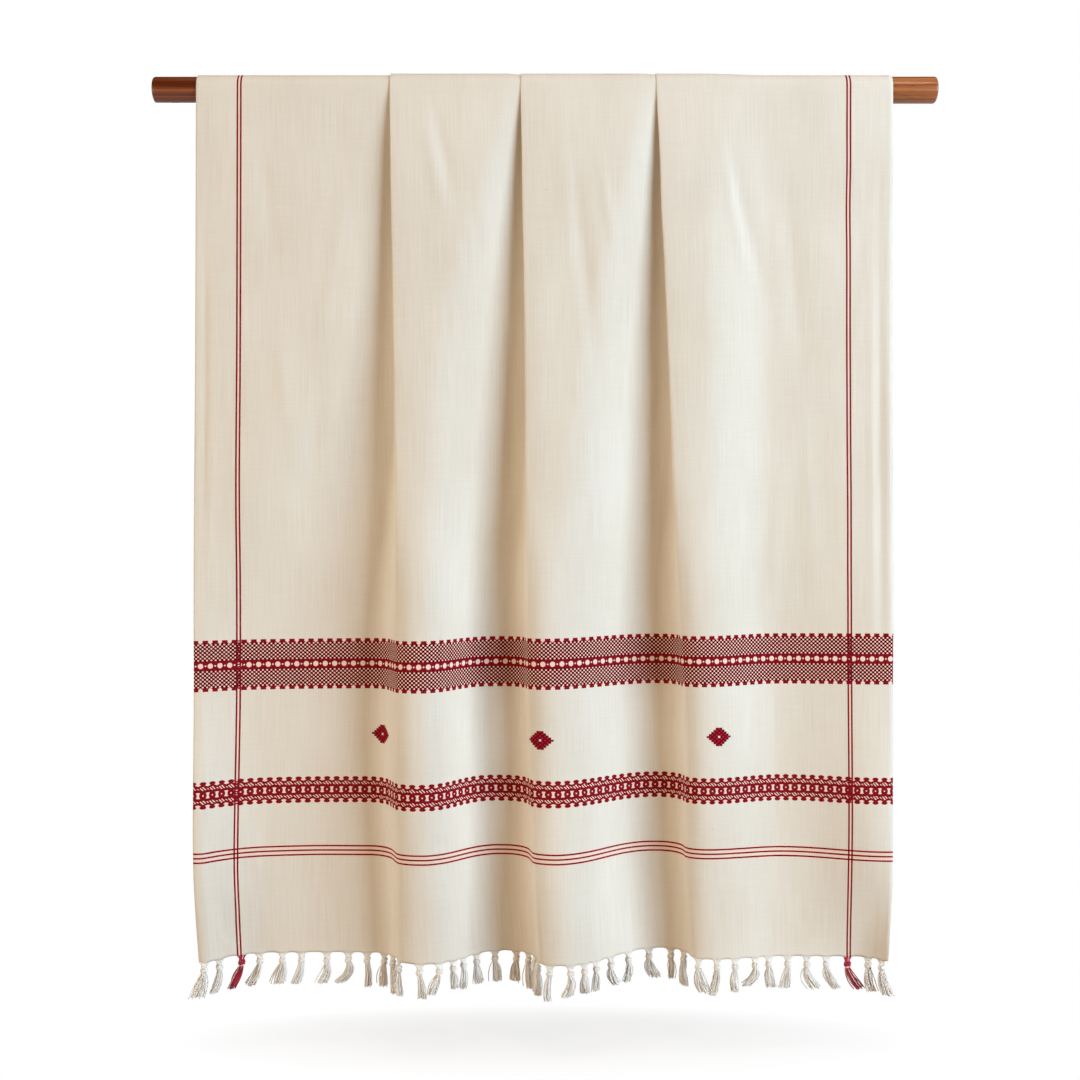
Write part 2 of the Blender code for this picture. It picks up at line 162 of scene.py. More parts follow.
class Finish:
    """A material with a Principled shader and the few nodes that every finish here uses."""

    def __init__(self, name, **sockets):
        self.material = bpy.data.materials.new(name)
        self.material.use_nodes = True
        self.tree = self.material.node_tree
        self.shader = self.tree.nodes["Principled BSDF"]
        for socket, value in sockets.items():
            self.shader.inputs[socket.replace("_", " ")].default_value = value

    def coordinates(self, kind, *scale):
        """Object or UV coordinates, stretched along each axis."""
        source = self.tree.nodes.new("ShaderNodeTexCoord")
        stretch = self.tree.nodes.new("ShaderNodeVectorMath")
        stretch.operation = "MULTIPLY"
        stretch.inputs[1].default_value = scale
        self.tree.links.new(source.outputs[kind], stretch.inputs[0])
        return stretch.outputs[0]

    def axes(self, kind, *scale):
        """The same coordinates as one field for each axis."""
        parts = self.tree.nodes.new("ShaderNodeSeparateXYZ")
        self.tree.links.new(self.coordinates(kind, *scale), parts.inputs[0])
        return [Field(self.tree, output) for output in parts.outputs]

    def noise(self, vector, scale, detail=3.0, roughness=0.5, distortion=0.0):
        node = self.tree.nodes.new("ShaderNodeTexNoise")
        node.inputs["Scale"].default_value = scale
        node.inputs["Detail"].default_value = detail
        node.inputs["Roughness"].default_value = roughness
        node.inputs["Distortion"].default_value = distortion
        self.tree.links.new(vector, node.inputs["Vector"])
        return Field(self.tree, node.outputs["Fac"])

    def steps(self, field, *stops):
        """Colours along a ramp: each stop is a place from 0 to 1 and a colour."""
        node = self.tree.nodes.new("ShaderNodeValToRGB")
        ramp = node.color_ramp
        while len(ramp.elements) < len(stops):
            ramp.elements.new(0.5)
        for element, (place, colour) in zip(ramp.elements, stops):
            element.position = place
            element.color = (*colour, 1.0)
        self.tree.links.new(field.socket, node.inputs["Fac"])
        return node.outputs["Color"]

    def blend(self, amount, first, second, mode="MIX"):
        """Mixes two colours, sockets or plain values, by a field or a number."""
        node = self.tree.nodes.new("ShaderNodeMix")
        node.data_type = "RGBA"
        node.blend_type = mode
        for socket, value in zip((node.inputs[0], node.inputs[6], node.inputs[7]), (amount, first, second)):
            if isinstance(value, Field):
                self.tree.links.new(value.socket, socket)
            elif isinstance(value, bpy.types.NodeSocket):
                self.tree.links.new(value, socket)
            elif isinstance(value, tuple):
                socket.default_value = (*value, 1.0)
            else:
                socket.default_value = value
        return node.outputs[2]

    def colour(self, socket):
        self.tree.links.new(socket, self.shader.inputs["Base Color"])

    def roughness(self, field):
        self.tree.links.new(field.socket, self.shader.inputs["Roughness"])

    def relief(self, *heights):
        """Bumps, each a height field and how high it stands in metres."""
        normal = None
        for field, distance in heights:
            node = self.tree.nodes.new("ShaderNodeBump")
            node.inputs["Strength"].default_value = BUMP_STRENGTH
            node.inputs["Distance"].default_value = distance
            self.tree.links.new(field.socket, node.inputs["Height"])
            if normal:
                self.tree.links.new(normal, node.inputs["Normal"])
            normal = node.outputs["Normal"]
        self.tree.links.new(normal, self.shader.inputs["Normal"])


WOOD_DARK = (0.100, 0.015, 0.002)
WOOD_MIDDLE = (0.240, 0.052, 0.010)
WOOD_LIGHT = (0.520, 0.190, 0.060)
# How much lighter the rod is painted towards its right end: painted light, standing in for the lamp light
# falling off towards the left end.
RIGHT_END_PAINTED_LIGHT = 0.22


def varnished_wood():
    """Straight grain along the rod, with fine dark pores, under clear varnish, and painted light that makes
    the right end lighter.
    """
    finish = Finish(
        "varnished_wood", Coat_Weight=0.30, Coat_Roughness=0.14, Coat_IOR=1.5, Specular_IOR_Level=0.25
    )
    grain = finish.noise(finish.coordinates("Object", 2.2, 130, 130), 1.0, 4.0, 0.6, 0.6)
    figure = finish.noise(finish.coordinates("Object", 0.9, 34, 34), 1.0, 2.0, 0.5, 1.0)
    pores = finish.noise(finish.coordinates("Object", 26, 900, 900), 1.0, 2.0, 0.6)
    along = finish.axes("Object", 1, 1, 1)[0]
    # The tone grows lighter along the rod towards its right end: painted light, not a colour of the wood.
    tone = grain * 0.7 + figure * 0.3 + along * RIGHT_END_PAINTED_LIGHT
    colour = finish.steps(tone, (0.34, WOOD_DARK), (0.50, WOOD_MIDDLE), (0.66, WOOD_LIGHT))
    finish.colour(finish.blend(pores.over(0.62) * 0.55, colour, WOOD_DARK))
    finish.roughness(grain * 0.18 + 0.30)
    finish.relief((grain, 0.00012), (pores, 0.00006))
    return finish.material


rod = turn_rod()
rod.data.materials.append(varnished_wood())
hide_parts("rod")
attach(rod, "root")

# The cloth.
# One length of handwoven ecru cotton, selvedge to selvedge, laid over the rod in three
# knife pleats that open downwards into waves. Its weft bands are woven in with red cotton.
CLOTH_WIDTH = 0.866
CLOTH_THICKNESS = 0.0007
LAYER_PITCH = 0.00085
CARRIER_RADIUS = ROD_RADIUS + 0.0008 + CLOTH_THICKNESS / 2
FRONT_DROP = 0.9300
BACK_DROP = 0.8000
SAG_AT_HEM = 0.02
WRAP_LENGTH = math.pi * CARRIER_RADIUS
SHOULDER = 0.028
LEFT_ROLL = 0.014
LEFT_CURL = 0.080
RIGHT_CURL = 0.040
CLOSED_TURN = math.pi * LAYER_PITCH / 2

# How far the pleats have opened: the angles that their hidden faces turn to, the angle left
# just past an edge, the lengths of cloth in a pleat's two turns, the swell before the hidden face,
# and the angles of the selvedges: rolled back or curled forward on the left, curled on the right.
Shape = namedtuple(
    "Shape", "drop lean_1 lean_2 lean_3 shoulder edge_turn hollow_turn swell roll left_curl right_curl"
)
# Where the selvedges and the pleats' outer edges stand along the rod.
Across = namedtuple("Across", "drop left edge_1 edge_2 edge_3 right")
# How much cloth lies between the left selvedge and each pleat's outer edge.
Weft = namedtuple("Weft", "drop edge_1 edge_2 edge_3")
# Where, along the weft, the cloth starts to fall back into each hollow and where it has fallen.
Fall = namedtuple("Fall", "drop start_1 start_2 start_3 start_4 end_1 end_2 end_3 end_4")
# How far the selvedges and the hollows stand out from the hanging plane.
Out = namedtuple("Out", "drop left hollow_1 hollow_2 hollow_3 hollow_4 right")
Drape = namedtuple("Drape", "shape across weft fall out")
# What a section's search has found: the cloth tucked under each edge and the angles between.
Settled = namedtuple("Settled", "drop tuck_1 tuck_2 tuck_3 fall_1 fall_2 fall_3 fall_4 last_rise")

FRONT = Drape(
    shape=(
        Shape(0.00, 180, 180, 180, 0, CLOSED_TURN, CLOSED_TURN, 0.000, 0, 0, 0),
        Shape(0.06, 160, 160, 162, 6, 0.0025, 0.005, 0.000, 0, 0, 0),
        Shape(0.16, 140, 142, 146, 8, 0.003, 0.008, 0.000, 2, 0, 0),
        Shape(0.29, 118, 124, 128, 11, 0.0035, 0.012, 0.001, 4, 0, 0),
        Shape(0.45, 92, 103, 108, 16, 0.005, 0.022, 0.001, 6, 0, 0),
        Shape(0.57, 73, 84, 88, 34, 0.008, 0.035, 0.001, 20, 18, 0),
        Shape(0.64, 69, 78, 82, 36, 0.010, 0.036, 0.001, 36, 28, 0),
        Shape(0.84, 70, 78, 82, 30, 0.012, 0.036, 0.001, 70, 50, 4),
        Shape(0.93, 70, 78, 82, 24, 0.011, 0.036, 0.001, 100, 62, 50),
    ),
    across=(
        Across(0.00, -0.376, -0.167, -0.026, 0.120, 0.375),
        Across(0.29, -0.374, -0.160, -0.021, 0.131, 0.371),
        Across(0.57, -0.3712, -0.154, -0.019, 0.142, 0.3675),
        Across(0.76, -0.3658, -0.153, -0.013, 0.150, 0.3630),
        Across(0.86, -0.3636, -0.151, -0.009, 0.154, 0.3612),
        Across(0.93, -0.3610, -0.150, -0.004, 0.156, 0.3580),
    ),
    weft=(
        Weft(0.00, 0.244, 0.422, 0.612),
        Weft(0.62, 0.243, 0.422, 0.622),
        Weft(0.78, 0.2427, 0.4248, 0.6256),
        Weft(0.93, 0.239, 0.430, 0.630),
    ),
    fall=(
        Fall(0.00, 0.188, 0.368, 0.552, 0.660, 0.218, 0.397, 0.583, 0.734),
        Fall(0.10, 0.180, 0.340, 0.528, 0.660, 0.215, 0.392, 0.581, 0.734),
        Fall(0.20, 0.164, 0.304, 0.500, 0.658, 0.209, 0.384, 0.577, 0.734),
        Fall(0.30, 0.136, 0.282, 0.478, 0.655, 0.200, 0.378, 0.573, 0.734),
        Fall(0.42, 0.076, 0.275, 0.460, 0.652, 0.183, 0.371, 0.571, 0.734),
        Fall(0.57, 0.000, 0.271, 0.446, 0.650, 0.140, 0.363, 0.570, 0.734),
        Fall(0.78, 0.000, 0.271, 0.449, 0.654, 0.140, 0.363, 0.573, 0.738),
        Fall(0.93, 0.000, 0.267, 0.454, 0.658, 0.140, 0.359, 0.578, 0.742),
    ),
    out=(
        Out(0.00, 0.000, 0.000, 0.000, 0.000, 0.000, 0.000),
        Out(0.29, 0.012, 0.004, 0.003, -0.001, 0.006, 0.012),
        Out(0.62, 0.034, 0.014, 0.011, 0.000, 0.016, 0.034),
        Out(0.84, 0.058, 0.020, 0.016, 0.001, 0.026, 0.050),
        Out(0.93, 0.048, 0.016, 0.010, 0.001, 0.029, 0.047),
    ),
)

BACK = Drape(
    shape=(
        Shape(0.00, 180, 180, 180, 0, CLOSED_TURN, CLOSED_TURN, 0.000, 0, 0, 0),
        Shape(0.06, 160, 160, 160, 10, 0.003, 0.008, 0.000, 0, 0, 0),
        Shape(0.30, 124, 126, 122, 20, 0.006, 0.020, 0.002, 0, 0, 0),
        Shape(0.55, 106, 110, 104, 24, 0.010, 0.024, 0.003, 0, 0, 0),
        Shape(0.80, 94, 98, 92, 24, 0.014, 0.026, 0.004, 0, 20, 20),
    ),
    across=(
        Across(0.00, -0.376, -0.167, -0.026, 0.120, 0.375),
        Across(0.30, -0.374, -0.165, -0.023, 0.124, 0.373),
        Across(0.80, -0.369, -0.161, -0.019, 0.131, 0.370),
    ),
    weft=(
        Weft(0.00, 0.244, 0.422, 0.612),
        Weft(0.80, 0.243, 0.423, 0.616),
    ),
    fall=(
        Fall(0.00, 0.000, 0.272, 0.446, 0.640, 0.140, 0.364, 0.570, 0.724),
        Fall(0.80, 0.000, 0.271, 0.447, 0.644, 0.140, 0.363, 0.571, 0.728),
    ),
    out=(
        Out(0.00, 0.000, 0.000, 0.000, 0.000, 0.000, 0.000),
        Out(0.30, 0.006, 0.002, 0.004, 0.001, 0.004, 0.006),
        Out(0.80, 0.020, 0.006, 0.008, 0.002, 0.009, 0.018),
    ),
)

# The levels at which a drape is settled, and the rows of mesh, close together along the hems.
FRONT_LEVELS = (
    0.0, 0.012, 0.045, 0.10, 0.18, 0.27, 0.36, 0.45, 0.53, 0.60, 0.65, 0.71, 0.77, 0.83, 0.885, 0.93,
)
BACK_LEVELS = (0.0, 0.012, 0.045, 0.10, 0.18, 0.28, 0.38, 0.48, 0.58, 0.69, 0.80)
ROD_ROWS = 16
FRONT_ROWS = 64
BACK_ROWS = 32
HEM_ROWS = 8
HEM_ROW = 0.003
# The columns of mesh from the left selvedge to the right: in the rolled selvedge, down each fall,
# up each rise, in each turn, on each hidden face, on the last panel and in its curled selvedge.
ROLL_COLUMNS = 8
FALL_COLUMNS = (43, 37, 46, 35)
RISE_COLUMNS = 17
TURN_COLUMNS = 9
FACE_COLUMNS = 6
LAST_COLUMNS = 34
CURL_COLUMNS = 10

SAMPLES = 4800
STEP = CLOTH_WIDTH / SAMPLES
PATH = (np.arange(SAMPLES) + 0.5) * STEP
HALVINGS = 15
LEAST_FALL = math.radians(-35)
MOST_FALL = math.radians(77)
LEAST_RISE = 0.004
LEAST_FACE = 0.0015
FALL_FULLNESS = 0.7


def smooth_value(rows, drop, name):
    """The named column's value at a drop, on a smooth curve through the table's rows."""
    drops = [row.drop for row in rows]
    values = [getattr(row, name) for row in rows]
    slopes = np.gradient(values, drops)
    i = min(max(bisect_right(drops, drop) - 1, 0), len(rows) - 2)
    gap = drops[i + 1] - drops[i]
    u = (drop - drops[i]) / gap
    keep = (1 + 2 * u) * (1 - u) ** 2 * values[i] + u * u * (3 - 2 * u) * values[i + 1]
    bend = u * (1 - u) ** 2 * slopes[i] - u * u * (1 - u) * slopes[i + 1]
    return keep + gap * bend


def row_at(rows, drop):
    """The table's row at any drop."""
    row_type = type(rows[0])
    return row_type(drop, *(smooth_value(rows, drop, name) for name in row_type._fields[1:]))


def ramp(path, centre, width):
    """Rises from 0 to 1 along a turn."""
    return np.clip((path - centre) / width + 0.5, 0, 1)


def ease(path, start, length):
    """Rises smoothly from 0 to 1 over a length of cloth."""
    part = np.clip((path - start) / length, 0, 1)
    return part * part * (3 - 2 * part)


def spread(first, last, count):
    """Evenly spaced places up to the last, without the first."""
    return np.linspace(first, last, count + 1)[1:]


def arch(path, start, length):
    """Rises from 0 to 1 and falls back to 0 over a length of cloth."""
    return np.sin(np.pi * np.clip((path - start) / length, 0, 1))


class Section:
    """One level cut of the hanging cloth, which keeps its length.

    At each point along the weft the cloth heads in some direction, and adding up those
    headings gives how far across and how far out each point stands.
    """

    def __init__(self, drape, drop, settled=None):
        self.drop = drop
        self.shape = row_at(drape.shape, drop)
        self.edges = row_at(drape.weft, drop)[1:]
        self.across_row = row_at(drape.across, drop)
        self.out_row = row_at(drape.out, drop)
        self.leans = [math.radians(lean) for lean in self.shape[1:4]]
        self.shoulder = math.radians(self.shape.shoulder)
        fall_row = row_at(drape.fall, drop)
        self.fall_starts = fall_row[1:5]
        self.fall_ends = fall_row[5:]
        self.least_tuck = 0.5 * (self.shape.edge_turn + self.shape.hollow_turn) + LEAST_FACE
        if settled:
            self.tucks = list(settled[1:4])
            self.fall_angles = list(settled[4:8])
            self.last_rise = [settled.last_rise]
            self.walk()
        else:
            self.tucks = [self.least_tuck] * 3
            self.fall_angles = [0.0] * 4
            self.last_rise = [0.0]
            self.settle()
        self.fit_right()

    def found(self):
        return Settled(self.drop, *self.tucks, *self.fall_angles, *self.last_rise)

    def heading(self, path):
        """The angle, towards the viewer, that the cloth runs at along the weft."""
        angle = np.zeros_like(path)
        for start, end, fall in zip(self.fall_starts, self.fall_ends, self.fall_angles):
            angle -= fall * arch(path, start, end - start) ** FALL_FULLNESS
        for edge, tuck, lean, fall_end in zip(self.edges, self.tucks, self.leans, self.fall_ends):
            hollow = edge - tuck
            rise_length = hollow - fall_end
            swell = self.shape.swell * math.pi / (2 * rise_length)
            angle += swell * arch(path, fall_end, rise_length)
            angle += lean * ramp(path, hollow, self.shape.hollow_turn)
            angle -= (lean - self.shoulder) * ramp(path, edge, self.shape.edge_turn)
            angle -= self.shoulder * ease(path, edge, SHOULDER)
        last_end = self.fall_ends[-1]
        angle += self.last_rise[0] * arch(path, last_end, CLOTH_WIDTH - last_end)
        angle += math.radians(self.shape.roll) * np.clip(1 - path / LEFT_ROLL, 0, 1)
        angle -= math.radians(self.shape.left_curl) * np.clip(1 - path / LEFT_CURL, 0, 1)
        angle += math.radians(self.shape.right_curl) * np.clip(1 - (CLOTH_WIDTH - path) / RIGHT_CURL, 0, 1)
        return angle

    def walk(self):
        """Adds up the headings from the left selvedge."""
        angle = self.heading(PATH)
        self.points = np.arange(SAMPLES + 1) * STEP
        self.across = self.across_row.left + np.append(0, np.cumsum(np.cos(angle))) * STEP
        self.out = self.out_row.left + np.append(0, np.cumsum(np.sin(angle))) * STEP

    def at(self, values, place):
        return float(np.interp(place, self.points, values))

    def settle(self):
        """From left to right, deepens each fall to its hollow and tucks cloth under each edge."""
        stops = self.across_row[1:5]
        places = (0.0,) + tuple(self.edges)
        heights = self.out_row[2:6]
        for n, (bottom, height) in enumerate(zip(self.fall_ends, heights)):
            def above():
                return height - self.at(self.out, bottom)

            self.solve(self.fall_angles, n, above, LEAST_FALL, MOST_FALL)
            if n < 3:
                span = stops[n + 1] - stops[n]

                def short():
                    return span - self.at(self.across, places[n + 1]) + self.at(self.across, places[n])

                room = self.edges[n] - bottom - self.shape.hollow_turn / 2 - LEAST_RISE
                self.solve(self.tucks, n, short, self.least_tuck, room)

        def past_right():
            return self.out[-1] - self.out_row.right

        self.solve(self.last_rise, 0, past_right, LEAST_FALL, MOST_FALL)

    def solve(self, values, n, miss, low, high):
        """Halves the range until the value leaves no miss. The miss grows with the value."""
        for _ in range(HALVINGS):
            values[n] = 0.5 * (low + high)
            self.walk()
            if miss() > 0:
                high = values[n]
            else:
                low = values[n]

    def fit_right(self):
        """Draws the last panel in, so that its selvedge hangs where it should."""
        edge = self.at(self.across, self.edges[2])
        scale = (self.across_row.right - edge) / (self.across[-1] - edge)
        past = self.points > self.edges[2]
        self.across[past] = edge + (self.across[past] - edge) * scale

    def columns(self):
        """The places along the weft that the mesh keeps, closer together in the turns."""
        places = [np.linspace(0, LEFT_ROLL, ROLL_COLUMNS + 1)]
        first = LEFT_ROLL
        for n, bottom in enumerate(self.fall_ends):
            places.append(spread(first, bottom, FALL_COLUMNS[n]))
            if n < 3:
                hollow, edge = self.edges[n] - self.tucks[n], self.edges[n]
                half_hollow, half_edge = self.shape.hollow_turn / 2, self.shape.edge_turn / 2
                places.append(spread(bottom, hollow - half_hollow, RISE_COLUMNS))
                places.append(spread(hollow - half_hollow, hollow + half_hollow, TURN_COLUMNS))
                places.append(spread(hollow + half_hollow, edge - half_edge, FACE_COLUMNS))
                places.append(spread(edge - half_edge, edge + half_edge, TURN_COLUMNS))
                first = edge + half_edge
        places.append(spread(self.fall_ends[-1], CLOTH_WIDTH - RIGHT_CURL, LAST_COLUMNS))
        places.append(spread(CLOTH_WIDTH - RIGHT_CURL, CLOTH_WIDTH, CURL_COLUMNS))
        return np.concatenate(places)

    def read(self, places):
        """Across and out at places along the weft."""
        return np.interp(places, self.points, self.across), np.interp(places, self.points, self.out)


def hang(across, out, side, drop):
    """Points of the cloth below the rod: side is -1 in front and 1 behind."""
    sag = SAG_AT_HEM * drop / FRONT_DROP
    return np.stack([across, side * (CARRIER_RADIUS + out), -drop - sag * out], axis=-1)


def wrap(across, out, angle):
    """Points of the cloth on the rod: the angle runs from the front, over the top, to the back."""
    reach = CARRIER_RADIUS + out
    return np.stack([across, -reach * math.cos(angle), reach * math.sin(angle)], axis=-1)


def settle_drape(drape, levels):
    return [Section(drape, level).found() for level in levels]


front_settled = settle_drape(FRONT, FRONT_LEVELS)
back_settled = settle_drape(BACK, BACK_LEVELS)


# Between the tassels, which hold the cloth down, the hem is drawn up in small scallops.
SCALLOP = 0.0018
SCALLOP_SHOULDER = 0.0052
SCALLOP_FADE = 0.020
FRONT_ROOTS = (
    0.006, 0.024, 0.049, 0.068, 0.092, 0.112, 0.139, 0.162, 0.182, 0.201, 0.214, 0.233, 0.260, 0.281,
    0.298, 0.312, 0.330, 0.352, 0.375, 0.390, 0.403, 0.418, 0.440, 0.462, 0.478, 0.493, 0.514, 0.540,
    0.566, 0.590, 0.606, 0.637, 0.659, 0.681, 0.706, 0.723, 0.746, 0.769, 0.792, 0.817, 0.841, 0.857,
)
BACK_ROOTS = tuple(0.009 + n * (CLOTH_WIDTH - 0.018) / 41 for n in range(42))


def drawn_up(places, roots, from_hem=0.0):
    """How far the scallops lift the cloth."""
    nearest = np.abs(np.subtract.outer(places, np.array(roots))).min(axis=-1)
    fade = np.clip(1 - from_hem / SCALLOP_FADE, 0, 1) ** 2
    return SCALLOP * fade * (1 - np.exp(-(nearest / SCALLOP_SHOULDER) ** 2))


def row_drops(hem_drop, rows):
    """The rows' levels, from the hem up to just below the rod."""
    along_hem = hem_drop - HEM_ROW * np.arange(HEM_ROWS)
    above = np.linspace(hem_drop - HEM_ROW * HEM_ROWS, 0, rows + 1)[:-1]
    return np.concatenate([along_hem, above])


def cloth_grid():
    """Rows of points from the front hem to the back hem, and each point's place on the flat cloth."""
    points, flat = [], []

    def add_row(row_points, along_warp, places):
        points.append(row_points)
        flat.append(np.stack([places, np.full_like(places, along_warp)], axis=-1))

    def add_hanging_row(drape, settled, side, drop, hem_drop, roots, along_warp):
        section = Section(drape, drop, row_at(settled, drop))
        places = section.columns()
        row_points = hang(*section.read(places), side, drop)
        row_points[:, 2] += drawn_up(places, roots, hem_drop - drop)
        add_row(row_points, along_warp, places)

    for drop in row_drops(FRONT_DROP, FRONT_ROWS):
        add_hanging_row(FRONT, front_settled, -1, drop, FRONT_DROP, FRONT_ROOTS, FRONT_DROP - drop)
    section = Section(FRONT, 0.0, front_settled[0])
    places = section.columns()
    for part in np.linspace(0, 1, ROD_ROWS + 1):
        row_points = wrap(*section.read(places), math.pi * part)
        add_row(row_points, FRONT_DROP + part * WRAP_LENGTH, places)
    for drop in row_drops(BACK_DROP, BACK_ROWS)[::-1]:
        along_warp = FRONT_DROP + WRAP_LENGTH + drop
        add_hanging_row(BACK, back_settled, 1, drop, BACK_DROP, BACK_ROOTS, along_warp)
    return np.array(points), np.array(flat)


# Soft creases, in millimetres of cloth: where the middle lies from the left
# selvedge and above the front hem, how long and wide the crease is, its turn from upright in
# degrees, and how far it stands out, or with a minus how deep it is.
Crease = namedtuple("Crease", "weft warp length width turn height")
CREASES = (
    Crease(852, 560, 720, 3.8, 0, -2.0),
    Crease(844, 520, 640, 3.0, 0, 1.4),
    Crease(861, 480, 760, 3.0, 0, 1.2),
    Crease(10, 620, 520, 3.8, 0, -1.4),
    Crease(18, 540, 560, 4.5, 0, 0.8),
    Crease(303, 845, 170, 6.0, -14, -2.4),
    Crease(290, 850, 150, 6.0, -8, 1.5),
    Crease(330, 790, 170, 6.0, -12, -1.4),
    Crease(372, 560, 320, 9.0, -3, -1.4),
    Crease(486, 730, 380, 9.0, -6, -2.5),
    Crease(512, 800, 160, 5.2, -8, 1.4),
    Crease(470, 820, 160, 6.0, -4, 1.2),
    Crease(560, 560, 300, 7.5, 4, 1.0),
    Crease(706, 790, 240, 7.5, -14, -2.5),
    Crease(690, 800, 200, 6.8, -10, 1.5),
    Crease(760, 720, 340, 9.0, -5, -1.4),
    Crease(734, 420, 260, 9.0, 5, 1.2),
    Crease(775, 500, 300, 9.0, -3, 1.0),
    Crease(78, 790, 240, 7.5, -7, -1.5),
    Crease(96, 600, 300, 9.0, -5, 1.2),
    Crease(150, 740, 320, 8.2, 10, 1.4),
    Crease(128, 560, 260, 9.0, 4, -1.4),
    Crease(170, 520, 260, 7.5, 2, -0.9),
    Crease(640, 462, 520, 3.0, 90, -0.5),
    Crease(300, 466, 260, 3.0, 90, -0.3),
    Crease(82, 64, 60, 3.0, -55, -1.2),
    Crease(96, 44, 50, 3.0, -60, 1.0),
    Crease(120, 70, 46, 3.0, -35, -1.0),
    Crease(58, 88, 60, 3.8, -40, -1.2),
    Crease(150, 40, 40, 3.0, 50, -0.9),
    Crease(300, 50, 46, 3.8, 40, -1.0),
    Crease(480, 40, 60, 3.8, -50, -0.9),
    Crease(512, 66, 56, 3.8, -30, 1.0),
    Crease(672, 46, 70, 3.8, -60, -1.4),
    Crease(700, 66, 60, 3.8, -50, 1.2),
    Crease(726, 36, 56, 3.8, -70, -1.2),
    Crease(756, 60, 60, 3.8, -40, -1.0),
    Crease(780, 40, 50, 3.8, -60, 0.9),
    Crease(690, 100, 50, 3.8, -35, -0.9),
    Crease(30, 40, 70, 3.8, -25, -1.8),
    Crease(42, 62, 80, 4.5, -22, 1.4),
)


def press_creases(points, flat):
    """Moves the cloth in or out along its own face at each crease."""
    normals = normals_of(points)
    weft, warp = flat[..., 0] * 1000, flat[..., 1] * 1000
    for crease in CREASES:
        turn = math.radians(crease.turn)
        right, up = weft - crease.weft, warp - crease.warp
        along = right * math.sin(turn) + up * math.cos(turn)
        aside = right * math.cos(turn) - up * math.sin(turn)
        fade = np.cos(np.pi * np.clip(along / crease.length, -0.5, 0.5)) ** 2
        height = crease.height / 1000 * np.exp(-(aside / crease.width) ** 2) * fade
        points += height[..., None] * normals


def normals_of(points):
    """The good side's direction at each point of the grid."""
    along_weft = np.gradient(points, axis=1)
    along_warp = np.gradient(points, axis=0)
    cross = np.cross(along_weft, along_warp)
    return cross / np.linalg.norm(cross, axis=-1, keepdims=True)


def weave_cloth():
    """A flat grid, as long as the cloth, laid over the rod in its folds."""
    points, flat = cloth_grid()
    press_creases(points, flat)
    rows, columns = points.shape[:2]
    bm = bmesh.new()
    bmesh.ops.create_grid(bm, x_segments=columns - 1, y_segments=rows - 1, size=0.5)
    piece = new_piece("towel_cloth", bm)
    mesh = piece.data
    mesh.vertices.foreach_set("co", points.reshape(-1))
    corners = np.empty(len(mesh.loops), dtype=np.int32)
    mesh.loops.foreach_get("vertex_index", corners)
    weave_map = mesh.uv_layers.new(name="weave")
    weave_map.uv.foreach_set("vector", flat.reshape(-1, 2)[corners].reshape(-1))
    mesh.update()
    wall = piece.modifiers.new("thickness", "SOLIDIFY")
    wall.thickness = CLOTH_THICKNESS
    wall.offset = 0
    wall.use_even_offset = True
    return piece


ECRU = (0.790, 0.732, 0.645)
ECRU_LIGHT = (0.825, 0.776, 0.698)
ECRU_DARK = (0.750, 0.684, 0.588)
PINKISH = (0.930, 0.660, 0.570)
RED = (0.230, 0.004, 0.012)
BRIGHT_RED = (0.560, 0.010, 0.040)
DEEP_RED = (0.026, 0.001, 0.003)
SEED = (0.360, 0.250, 0.150)

# The bands' places, in millimetres of cloth: how far above the front hem the middle lies,
# and how much higher it lies for each millimetre to the right.
WIDE_BAND = (311.7, 0.0093)
NARROW_BAND = (177.1, 0.0045)
TRIPLE_LINE = (111.5, 0.0)
MID_WEFT = 433.0
THREAD_PITCH = 0.9
DOT_START = 7.0
OVAL_START = 10.2
REPEAT = 10.07
CHECK_WEFT = REPEAT * 4 / 9
CHECK_WARP = 4.0
STRIPES = (46.5, 818.5)
# The small diamonds' middles, each along the weft and above the hem, and the size of one step.
DIAMONDS = ((203.0, 235.6), (435.5, 232.6), (662.0, 235.0))
STEP_ACROSS = 2.6
STEP_UP = 2.15
# The wide band from its middle outwards: the dots, the dotted line's edge, the edge of the checks,
# and the row of dashes along the outside.
DOT_RADIUS = 2.75
SMALL_DOT = 1.1
LINE_EDGE = 4.9
CHECKS_EDGE = 23.0
DASH_EDGE = 24.1
WIDE_EDGE = 26.7
DASH_HALF = 2.9
DASH_FOOT_HALF = 4.0
# The narrow band from its middle outwards: the stars, two wavy lines with twill between them,
# and the ovals along the edge.
STAR_HALF = (3.9, 3.8)
INNER_WAVE = 4.1
INNER_HALF = 1.50
TWILL_MIDDLE = 6.7
TWILL_HALF = 1.9
TWILL_PERIOD = 3.4
OUTER_WAVE = 9.2
OUTER_HALF = 1.20
OVAL_MIDDLE = 12.1
OVAL_HALF = (3.4, 1.8)
# The triple line and the paired warp lines.
LINE_PITCH = 4.65
LINE_HALF = 0.84
PAIR_INSIDE = 0.90
PAIR_OUTSIDE = 2.75


def from_middle(weft, warp, band):
    """How far above a band's middle each point lies."""
    middle, tilt = band
    return warp - weft * tilt - (middle - tilt * MID_WEFT)


